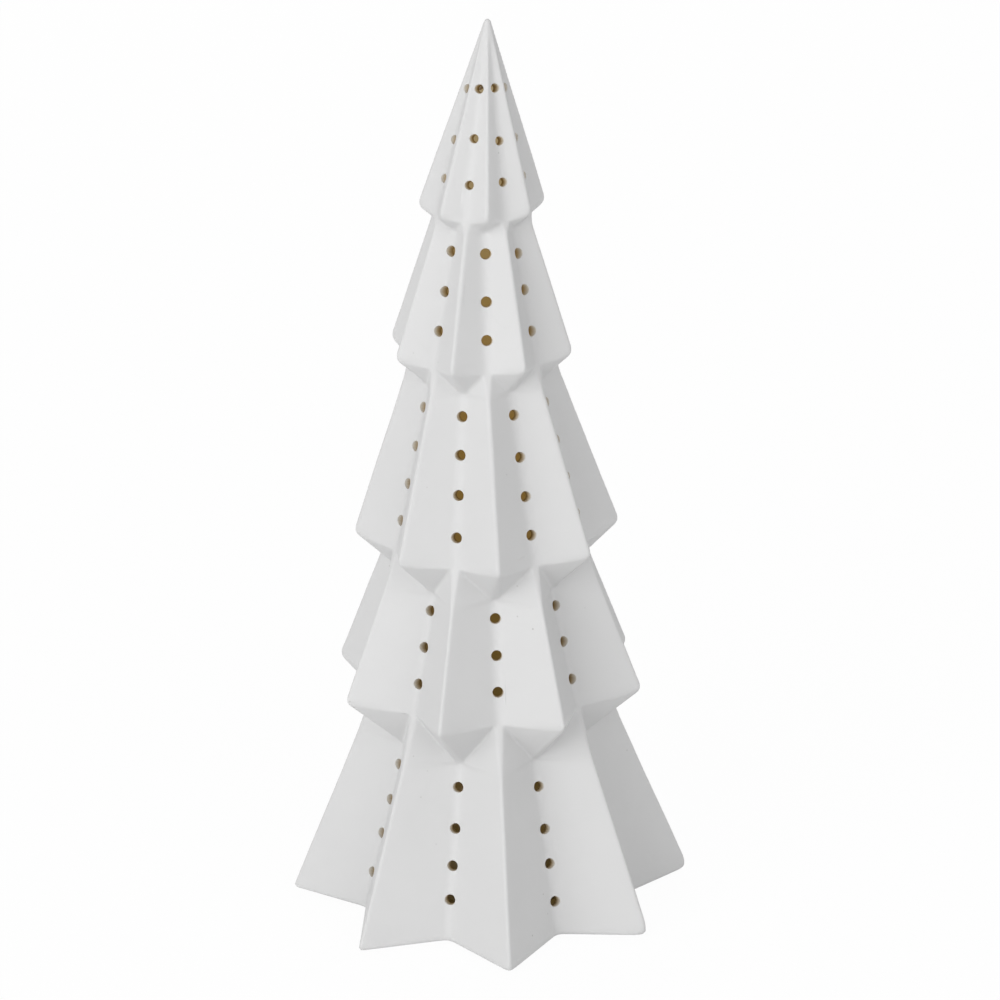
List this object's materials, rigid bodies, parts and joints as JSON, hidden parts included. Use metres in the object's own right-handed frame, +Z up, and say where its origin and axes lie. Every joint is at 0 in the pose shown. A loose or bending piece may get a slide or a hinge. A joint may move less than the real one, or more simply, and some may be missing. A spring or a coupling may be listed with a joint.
{
  "type": "pierced ceramic christmas tree",
  "caption": "Hollow white ceramic fir tree in star-shaped tiers, pierced with light holes, on felt pads, with a pull-out battery light module in its base.",
  "frame": {"origin": "on the surface the tree stands on, under the middle of the tree", "axes": "+Z up along the tree's axis; a point of the bottom tier faces -Y, the front; +X is to the right of it"},
  "size_m": [0.1354, 0.1354, 0.301],
  "materials": {
    "white_bisque": "smooth matt bisque, unglazed look",
    "felt": "self-adhesive wool felt",
    "white_plastic": "fine spark-eroded texture",
    "soft_rubber": "matt moulded rubber",
    "screw_steel": "zinc plated",
    "cell_jacket": "plain satin sleeve",
    "nickel_strip": "nickel plated spring strip",
    "spring_wire": "nickel plated wire",
    "board_green": "solder mask",
    "chip_black": "moulded resin",
    "lead_insulation": "soft vinyl insulation",
    "lamp_resin": "clear warm resin",
    "frosted_plastic": "frosted, lets light through"
  },
  "bodies": {
    "tree": {"ceramic_tree": "white_bisque", "felt_pads": "felt"},
    "light_module": {"battery_housing": "white_plastic", "grip_ring": "soft_rubber", "housing_lid": "white_plastic", "lid_screws": "screw_steel", "battery_1": "cell_jacket", "battery_2": "cell_jacket", "battery_3": "cell_jacket", "negative_terminal": "nickel_strip", "positive_terminal": "nickel_strip", "bridge_contact_right": "nickel_strip", "bridge_contact_left": "nickel_strip", "contact_springs": "spring_wire", "circuit_board": "board_green", "board_parts": "chip_black", "board_screws": "screw_steel", "slide_switch": "chip_black", "battery_leads": "lead_insulation", "switch_leads": "lead_insulation", "lamp_leads": "lead_insulation", "lamp_board": "board_green", "led_lamps": "lamp_resin", "diffuser_dome": "frosted_plastic"},
    "battery_door": {"battery_door": "white_plastic"},
    "door_screw_left": {"door_screw_left": "screw_steel"},
    "door_screw_right": {"door_screw_right": "screw_steel"},
    "switch_knob": {"switch_knob": "chip_black"}
  },
  "joints": [
    {"name": "tree_lift", "type": "slide", "parent": "light_module", "child": "tree", "axis": [0, 0, 1], "range_m": [0, 0.045]},
    {"name": "door_lift_off", "type": "slide", "parent": "light_module", "child": "battery_door", "axis": [0, 0, -1], "range_m": [0, 0.03]},
    {"name": "left_screw_turn", "type": "hinge", "parent": "battery_door", "child": "door_screw_left", "pos_m": [-0.02925, 0, 0.004], "axis": [0, 0, 1], "continuous": true},
    {"name": "right_screw_turn", "type": "hinge", "parent": "battery_door", "child": "door_screw_right", "pos_m": [0.02925, 0, 0.004], "axis": [0, 0, 1], "continuous": true},
    {"name": "switch_slide", "type": "slide", "parent": "light_module", "child": "switch_knob", "axis": [1, 0, 0], "range_m": [-0.002, 0.002]}
  ]
}
